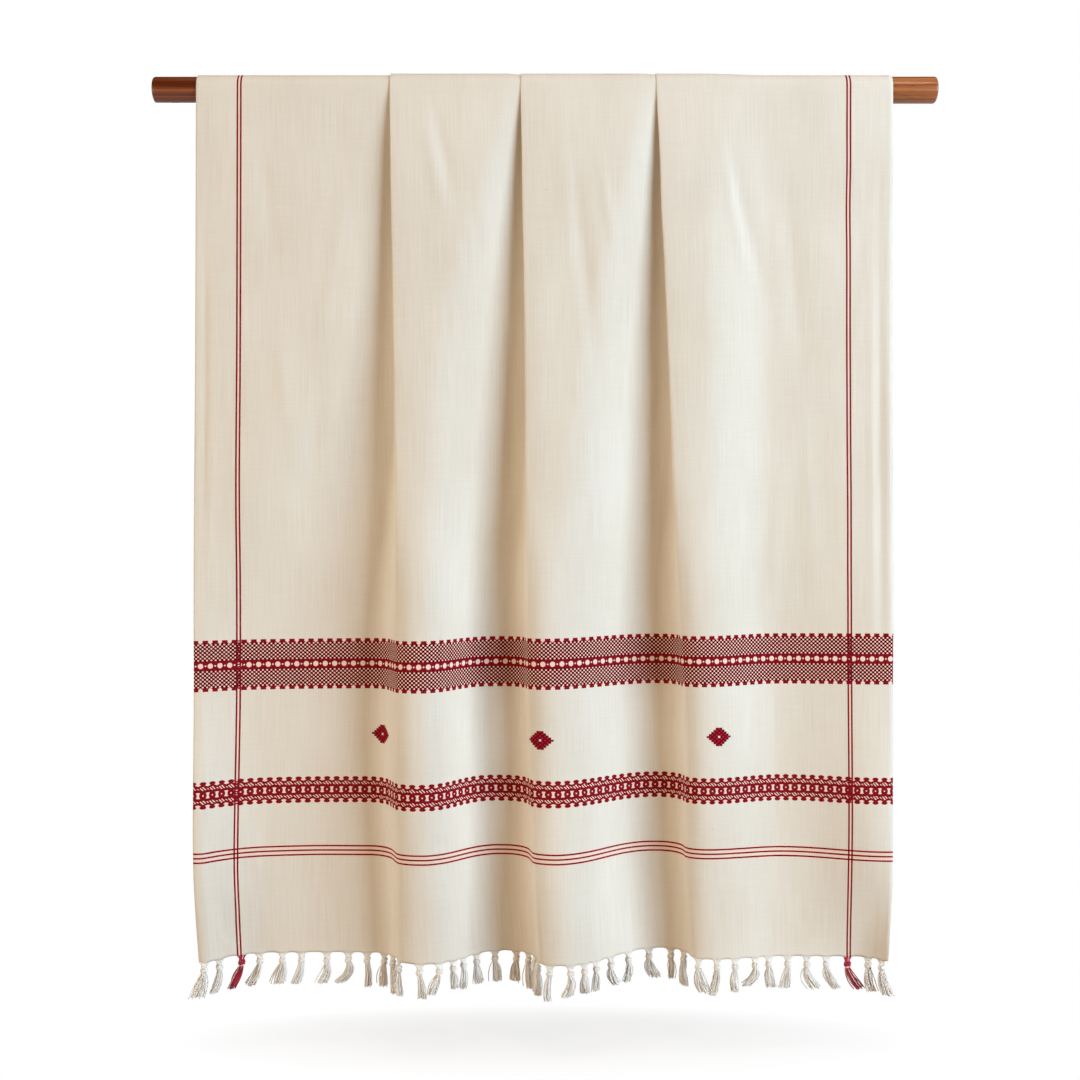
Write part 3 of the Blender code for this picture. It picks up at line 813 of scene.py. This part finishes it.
def wide_band(weft, warp):
    """A dotted line between two fields of fine checks, each edged with dashes."""
    up = from_middle(weft, warp, WIDE_BAND)
    away = abs(up)
    across = weft.repeat(REPEAT, DOT_START)
    to_dash = abs(across) * -1.0 + REPEAT / 2
    dots = (across * across + up * up).under(DOT_RADIUS ** 2)
    figures = (to_dash + away).under(SMALL_DOT)
    ground = away.under(LINE_EDGE).without(dots).without(figures)
    field = away.between(LINE_EDGE, CHECKS_EDGE)
    lattice = weft.wave(CHECK_WEFT, DOT_START) * up.wave(CHECK_WARP)
    checks = lattice.under(0.32) * field
    base = away.between(CHECKS_EDGE - 0.1, DASH_EDGE) * to_dash.under(DASH_FOOT_HALF)
    dashes = away.between(DASH_EDGE - 0.1, WIDE_EDGE) * to_dash.under(DASH_HALF)
    deep = lattice.under(-0.25) * field
    return ground.either(checks).either(base).either(dashes), deep


def oval(aside, above, halves):
    """Rises from 0 in the middle of an oval to 1 on its edge."""
    wide, high = halves
    return (aside * (1 / wide)).maths("POWER", 2.0) + (above * (1 / high)).maths("POWER", 2.0)


def narrow_band(weft, warp):
    """A row of stars, wavy lines with fine twill between them, and an edge of ovals."""
    up = from_middle(weft, warp, NARROW_BAND)
    away = abs(up)
    aside = abs(weft.repeat(REPEAT, OVAL_START))
    sway = weft.wave(REPEAT, OVAL_START)
    stars = oval(aside, away, STAR_HALF).between(0.04, 1.0)
    inner = abs(away + sway * 0.5 - INNER_WAVE).under(INNER_HALF)
    outer = abs(away - sway * 0.9 - OUTER_WAVE).under(OUTER_HALF)
    twill = (up + weft).wave(TWILL_PERIOD).over(-0.25) * abs(away - TWILL_MIDDLE).under(TWILL_HALF)
    ovals = oval(aside, away - OVAL_MIDDLE, OVAL_HALF).under(1.0)
    return stars.either(inner).either(outer).either(ovals).either(twill)


def triple_line(weft, warp):
    """Three red lines, their edges ticked by the weave."""
    up = from_middle(weft, warp, TRIPLE_LINE)
    ticks = (weft - up * 2.0).wave(1.9) * 0.14
    return (abs(up.repeat(LINE_PITCH, 0.0)) + ticks).under(LINE_HALF) * abs(up).under(LINE_PITCH * 1.5)


def warp_stripes(weft):
    """Two pairs of red warp lines, one near each selvedge, and the light line inside each pair."""
    from_stripe = abs(weft - STRIPES[0]).maths("MINIMUM", abs(weft - STRIPES[1]))
    return from_stripe.between(PAIR_INSIDE, PAIR_OUTSIDE), from_stripe.under(PAIR_INSIDE)


def small_diamonds(weft, warp):
    """Three stepped diamonds between the two bands, each with a brighter lattice and a light middle."""
    body = bright = middle = None
    for across, height in DIAMONDS:
        cell_across = (weft - across) * (1 / STEP_ACROSS)
        cell_up = (warp - height) * (1 / STEP_UP)
        size = abs(cell_across.maths("ROUND")) + abs(cell_up.maths("ROUND"))
        found = size.under(5.5) * abs(cell_up).under(4.5)
        lattice = (cell_across.wave(2.0) * cell_up.wave(2.0)).over(0.35) * size.under(4.5)
        centre = size.under(0.5)
        body = body.either(found) if body else found
        bright = bright.either(lattice) if bright else lattice
        middle = middle.either(centre) if middle else centre
    return body, bright, middle


def woven_cotton():
    """Ecru plain weave with slubs and seed specks, and the red weft and warp woven into it."""
    finish = Finish(
        "woven_cotton", Roughness=0.92, Sheen_Weight=0.03, Sheen_Roughness=0.5, Specular_IOR_Level=0.06
    )
    weft, warp, _ = finish.axes("UV", 1000, 1000, 1)

    warp_streaks = finish.noise(finish.coordinates("UV", 900, 14, 1), 1.0, 3.0, 0.6)
    weft_streaks = finish.noise(finish.coordinates("UV", 26, 800, 1), 1.0, 3.0, 0.6)
    clouds = finish.noise(finish.coordinates("UV", 1, 0.4, 1), 16.0, 3.0)
    specks = finish.noise(finish.coordinates("UV", 240, 190, 1), 1.0, 1.0).over(0.815)
    tone = warp_streaks * 0.45 + weft_streaks * 0.2 + clouds * 0.35
    cotton = finish.steps(tone, (0.39, ECRU_DARK), (0.50, ECRU), (0.61, ECRU_LIGHT))
    cotton = finish.blend(specks * 0.3, cotton, SEED)

    wide_red, wide_deep = wide_band(weft, warp)
    lines, middles = warp_stripes(weft)
    diamonds, bright, middle = small_diamonds(weft, warp)
    in_wide = abs(from_middle(weft, warp, WIDE_BAND)).under(26.0)
    in_narrow = abs(from_middle(weft, warp, NARROW_BAND)).under(13.0)
    in_triple = abs(from_middle(weft, warp, TRIPLE_LINE)).under(6.5)
    in_bands = in_wide.either(in_narrow)
    red = wide_red.either(narrow_band(weft, warp)).either(triple_line(weft, warp))
    red = red.either(diamonds.without(middle))
    red = red.either(lines).either(middles * in_bands * warp.wave(2.5).under(0.3))
    pinkish = in_bands.either(in_triple).either(middles).either(middle)
    colour = finish.blend(pinkish * 0.75, cotton, PINKISH)
    colour = finish.blend(red, colour, RED)
    colour = finish.blend(bright.without(middle) * 0.9, colour, BRIGHT_RED)
    dark = (wide_deep * 0.9).either(diamonds.without(bright).without(middle) * 0.4)
    finish.colour(finish.blend(dark, colour, DEEP_RED))
    weave = weft.wave(THREAD_PITCH) * warp.wave(THREAD_PITCH)
    finish.relief((weave, 0.00003), (warp_streaks + weft_streaks, 0.00014), (red, 0.00018))
    return finish.material


towel = weave_cloth()
towel.data.materials.append(woven_cotton())
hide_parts("towel")
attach(towel, "root")

# The fringes.
# Below each hem the warp ends are gathered into tassels, each tied off with one overhand
# knot. The two tassels at the red warp stripes are red and cream.
# Each tassel: how far its tips swing to the side, its length, how wide it spreads at the
# tips and how far its middle bows to the side, in millimetres. Its root is the hem's.
Tassel = namedtuple("Tassel", "root lean length spread bow")
FRONT_TASSEL_SHAPES = (
    (-8, 36, 15, 0), (-7, 33, 9, 1), (-10, 33, 8, -1), (-10, 33, 8, 1), (-5, 32, 14, 0), (-6, 32, 8, 1),
    (-5, 32, 9, 2), (-9, 31, 10, 4), (1, 35, 7, 1), (-1, 34, 9, -1), (3, 38, 8, 0), (3, 34, 9, -1),
    (3, 34, 8, 1), (-8, 30, 8, -1), (2, 29, 7, 1), (-1, 31, 8, 1), (3, 30, 10, -1), (2, 31, 9, 1),
    (-1, 31, 10, -1), (3, 36, 9, -1), (6, 36, 9, 0), (2, 34, 8, 1), (-2, 36, 7, -2), (-5, 31, 11, 2),
    (1, 29, 10, -1), (-2, 29, 8, 1), (8, 29, 10, -2), (-3, 30, 8, 1), (8, 30, 11, -2), (0, 31, 7, 1),
    (2, 35, 9, -1), (7, 34, 14, -1), (-5, 36, 8, 1), (0, 33, 7, -2), (-10, 28, 9, 3), (3, 31, 11, -1),
    (-4, 32, 10, 1), (9, 33, 10, -2), (10, 33, 9, -1), (12, 33, 7, -1), (4, 34, 10, -1), (8, 35, 14, -1),
)
FRONT_TASSELS = tuple(Tassel(root, *shape) for root, shape in zip(FRONT_ROOTS, FRONT_TASSEL_SHAPES))
BACK_TASSELS = tuple(
    Tassel(
        root, lean=4 * math.sin(2.1 * n), length=33 + 2 * math.sin(1.3 * n),
        spread=9 + 2 * math.sin(3.3 * n), bow=math.sin(4 * n),
    )
    for n, root in enumerate(BACK_ROOTS)
)
RED_TASSELS = (2, 39)
STRANDS = 29
STRAND_RADIUS = 0.00050
KNOT_TOP = 0.0040
KNOT_BOTTOM = 0.0088
KNOT_RADIUS = 0.0026
KNOT_TURNS = 5
KNOT_YARN = 1.7
GATHER = 0.0050
TUFT_DEPTH = 0.0036
GOLDEN_ANGLE = math.pi * (3 - math.sqrt(5))
TUFT_POINTS = 7
RING_POINTS = 11
TIP_SPREAD = 0.00058
LENGTH_VARIATION = 0.09
WIDE_STRAY = 1.9
STRAY_SHARE = 0.04
NECK_SHARE = 0.75
DRIFT = 0.0007
KINK = 0.0004


class Hem:
    """Where the cloth's edge runs, and which way it faces, at any place along it."""

    def __init__(self, drape, settled, drop, side, roots):
        self.section = Section(drape, drop, settled)
        self.side, self.drop, self.roots = side, drop, roots

    def point(self, place):
        place = min(max(place, 0.0), CLOTH_WIDTH)
        across, out = self.section.read(np.array([place]))
        return Vector(hang(across, out, self.side, self.drop)[0])

    def lift(self, place):
        """The scallops' height."""
        return Vector((0, 0, drawn_up(place, self.roots)))

    def directions(self, place):
        along = self.point(place + 0.002) - self.point(place - 0.002)
        along.z = 0
        along.normalize()
        return along, along.cross(Vector((0, 0, 1)))


def strand_points(hem, tassel, number, chance):
    """One yarn: out of the hem, through the knot, and down to its cut end."""
    turn = number * GOLDEN_ANGLE
    share = math.sqrt((number + 0.5) / STRANDS)
    right, front = share * math.cos(turn), share * math.sin(turn)
    along, outwards = hem.directions(tassel.root)
    knot = hem.point(tassel.root)
    place = tassel.root + right * GATHER
    start = hem.point(place) + hem.lift(place)
    length = 0.001 * tassel.length * (1 - LENGTH_VARIATION * chance.random() ** 2)
    far = chance.random() > 1 - STRAY_SHARE
    stray = WIDE_STRAY if far else 1 + 0.15 * chance.standard_normal()
    drift = DRIFT * chance.standard_normal()
    kink = KINK * chance.standard_normal()
    tight = NECK_SHARE * KNOT_RADIUS
    neck = knot + right * tight * along + front * tight * outwards
    points = [start + Vector((0, 0, 0.0012)), start + Vector((0, 0, -0.0003))]
    for part in (0.5, 1.0):
        point = start.lerp(neck, part ** 0.8)
        point.z = start.z + (knot.z - KNOT_TOP - start.z) * part
        points.append(point)
    for step in range(TUFT_POINTS):
        part = step / (TUFT_POINTS - 1)
        down = KNOT_BOTTOM + (length - KNOT_BOTTOM) * part
        flare = math.sin(0.5 * math.pi * part) ** 0.8
        bend = math.sin(math.pi * part)
        sway = 0.001 * tassel.lean * part ** 1.3 + 0.001 * tassel.bow * bend
        reach = tight * (1 - flare) + flare * stray * TIP_SPREAD * tassel.spread
        depth = tight * (1 - flare) + flare * stray * TUFT_DEPTH
        wave = kink * math.sin(5 * part + number)
        point = knot + (sway + right * reach + drift * bend + wave) * along
        point += (front * depth + drift * bend - wave) * outwards
        point.z = knot.z - down
        points.append(point)
    return points


def knot_points(hem, tassel, number):
    """One turn of the overhand knot, a tilted ring of yarn."""
    along, outwards = hem.directions(tassel.root)
    height = KNOT_TOP + (number + 0.5) * (KNOT_BOTTOM - KNOT_TOP) / KNOT_TURNS
    bulge = math.sin(math.pi * (number + 0.5) / KNOT_TURNS)
    radius = KNOT_RADIUS * (NECK_SHARE + 0.50 * bulge)
    tilt = 0.5 if number % 3 else -0.6
    points = []
    for step in range(RING_POINTS):
        turn = 2 * math.pi * step / RING_POINTS
        point = hem.point(tassel.root)
        point += radius * math.cos(turn) * along + radius * math.sin(turn) * outwards
        point.z -= height - tilt * radius * math.cos(turn + 0.8)
        points.append(point)
    return points


def spin_yarn(name, lines, radius, material):
    """Round yarns along lines of points, made one mesh."""
    curve = bpy.data.curves.new(name, "CURVE")
    curve.dimensions = "3D"
    curve.bevel_depth = radius
    curve.bevel_resolution = 0
    curve.use_fill_caps = True
    for points, closed in lines:
        spline = curve.splines.new("POLY")
        spline.points.add(len(points) - 1)
        spline.points.foreach_set("co", [value for point in points for value in (*point, 1.0)])
        spline.points.foreach_set("radius", [KNOT_YARN if closed else 1.0] * len(points))
        spline.use_cyclic_u = closed
    holder = bpy.data.objects.new(name + "_lines", curve)
    bpy.context.scene.collection.objects.link(holder)
    graph = bpy.context.evaluated_depsgraph_get()
    mesh = bpy.data.meshes.new_from_object(holder.evaluated_get(graph))
    bpy.data.objects.remove(holder)
    bpy.data.curves.remove(curve)
    mesh.name = name
    mesh.shade_smooth()
    piece = bpy.data.objects.new(name, mesh)
    bpy.context.scene.collection.objects.link(piece)
    piece.data.materials.clear()
    piece.data.materials.append(material)
    return piece


def tie_fringe(name, hem, tassels, red_tassels, seed):
    """All the tassels below one hem: the ecru yarns as one piece and the red ones as another."""
    chance = np.random.default_rng(seed)
    ecru_lines, red_lines = [], []
    for n, tassel in enumerate(tassels):
        for number in range(STRANDS):
            red = n in red_tassels and number % 6 < 5
            (red_lines if red else ecru_lines).append((strand_points(hem, tassel, number, chance), False))
        for number in range(KNOT_TURNS):
            red = n in red_tassels and number % 5 < 4
            (red_lines if red else ecru_lines).append((knot_points(hem, tassel, number), True))
    pieces = [spin_yarn(name + "_ecru", ecru_lines, STRAND_RADIUS, ecru_yarn)]
    if red_lines:
        pieces.append(spin_yarn(name + "_red", red_lines, STRAND_RADIUS, red_yarn))
    return pieces


def yarn(name, dark, light):
    """Loosely plied cotton with a matt, slightly hairy surface."""
    finish = Finish(name, Roughness=0.9, Sheen_Weight=0.3, Sheen_Roughness=0.5, Specular_IOR_Level=0.2)
    fibres = finish.noise(finish.coordinates("Object", 1500, 1500, 260), 1.0, 2.0)
    tufts = finish.noise(finish.coordinates("Object", 120, 120, 60), 1.0, 2.0)
    finish.colour(finish.steps(fibres * 0.5 + tufts * 0.5, (0.35, dark), (0.65, light)))
    finish.relief((fibres, 0.0002))
    return finish.material


ecru_yarn = yarn("ecru_yarn", (0.82, 0.785, 0.730), (0.95, 0.93, 0.90))
red_yarn = yarn("red_yarn", (0.24, 0.004, 0.018), (0.62, 0.016, 0.060))

front_hem = Hem(FRONT, front_settled[-1], FRONT_DROP, -1, FRONT_ROOTS)
back_hem = Hem(BACK, back_settled[-1], BACK_DROP, 1, BACK_ROOTS)
front_fringe = tie_fringe("fringe_front_yarn", front_hem, FRONT_TASSELS, RED_TASSELS, 5)
back_fringe = tie_fringe("fringe_back_yarn", back_hem, BACK_TASSELS, RED_TASSELS, 6)
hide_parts("fringe_front")
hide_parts("fringe_back")
for piece in front_fringe + back_fringe:
    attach(piece, "root")

# The floor, the backdrop and the studio light.
# A plain pale floor just under the tassels, with a partly painted shadow below the towel, and a plain white
# surround.
FLOOR_HEIGHT = -1.022
FLOOR_RADIUS = 9.0
# The oval of painted and cast shadow under the towel: its half length, its half depth, and how far its
# middle lies in front of the rod.
SHADOW_HALF_LENGTH = 0.39
SHADOW_HALF_DEPTH = 0.11
SHADOW_IN_FRONT = 0.03


def stage_piece(name, bm, material, **visible):
    piece = new_piece(name, bm)
    piece.data.materials.append(material)
    for ray, shown in visible.items():
        setattr(piece, ray, shown)
    return piece


def soft_light(name, place, towards, size, power, colour):
    """A large soft panel of light that faces a point."""
    data = bpy.data.lights.new(name, "AREA")
    data.shape = "RECTANGLE"
    data.size, data.size_y = size
    data.energy = power
    data.color = colour
    light = bpy.data.objects.new(name, data)
    light.location = place
    light.rotation_euler = (Vector(towards) - Vector(place)).to_track_quat("-Z", "Y").to_euler()
    bpy.context.scene.collection.objects.link(light)


def pale_floor():
    """Glows pure white, but in an oval just below the towel its glow is dimmed as a painted shadow, and
    there the lamps light it, so the towel's real shadow falls in the same oval.
    """
    finish = Finish("pale_floor", Roughness=1.0, Specular_IOR_Level=0.0)
    across, away, _ = finish.axes("Object", 1, 1, 1)
    across = across * (1 / SHADOW_HALF_LENGTH)
    away = (away + SHADOW_IN_FRONT) * (1 / SHADOW_HALF_DEPTH)
    shadow_oval = (across * across + away * away) * -1.0 + 1.0
    shadow_oval = shadow_oval.maths("MAXIMUM", 0.0)
    grey = finish.blend(shadow_oval, (0.0, 0.0, 0.0), (0.40, 0.40, 0.40))
    finish.colour(grey)
    finish.shader.inputs["Emission Color"].default_value = (1, 1, 1, 1)
    # The glow is dimmed in the oval under the towel: painted shadow.
    glow_with_painted_shadow = shadow_oval * -0.42 + 1.0
    finish.tree.links.new(glow_with_painted_shadow.socket, finish.shader.inputs["Emission Strength"])
    return finish.material


surround_finish = Finish("white_surround", Base_Color=(0, 0, 0, 1), Roughness=1.0, Emission_Strength=1.0)
surround_finish.shader.inputs["Emission Color"].default_value = (1, 1, 1, 1)
surround_finish.shader.inputs["Specular IOR Level"].default_value = 0.0

floor_mesh = bmesh.new()
bmesh.ops.create_circle(floor_mesh, cap_ends=True, segments=64, radius=FLOOR_RADIUS)
bmesh.ops.translate(floor_mesh, verts=floor_mesh.verts, vec=(0, 0, FLOOR_HEIGHT))
stage_piece("floor", floor_mesh, pale_floor(), visible_diffuse=False)
surround_mesh = bmesh.new()
bmesh.ops.create_uvsphere(surround_mesh, u_segments=48, v_segments=24, radius=FLOOR_RADIUS + 1)
stage_piece(
    "surround", surround_mesh, surround_finish.material,
    visible_diffuse=False, visible_glossy=False, visible_shadow=False, visible_transmission=False,
)

# Each light's place, the point that it faces, its size in metres, its power in watts and its colour.
soft_light("key", (2.45, -1.75, 0.0), (0, 0, -0.5), (1.8, 1.4), 108, (0.695, 0.868, 0.990))
soft_light("left", (-2.35, -1.75, -0.1), (0, 0, -0.5), (1.2, 1.4), 36, (0.97, 0.79, 0.56))
soft_light("flank", (-3.0, -0.9, -0.4), (0, 0, -0.5), (0.9, 1.2), 18, (0.72, 0.90, 1.0))
soft_light("bounce", (0.0, -1.3, -1.5), (0, 0, -0.9), (2.0, 0.7), 4, (1.0, 0.84, 0.66))
soft_light("above", (0.0, -0.03, 1.9), (0, -0.03, -1), (1.2, 0.2), 9, (1.0, 0.97, 0.92))
soft_light("behind", (-0.6, 2.8, -0.1), (0, 0, -0.5), (2.0, 1.6), 66, (0.84, 0.93, 1.0))
soft_light("glint", (0.95, -1.35, 1.5), (0.4, 0, 0), (0.4, 0.2), 6, (1.0, 0.93, 0.90))

# A weak warm light from all round, which reaches into the folds.
world = bpy.data.worlds.new("ambient")
world.use_nodes = True
ambient = world.node_tree.nodes["Background"]
ambient.inputs["Color"].default_value = (1.0, 0.48, 0.14, 1.0)
ambient.inputs["Strength"].default_value = 0.155
bpy.context.scene.world = world
bpy.context.scene.view_settings.view_transform = "Standard"
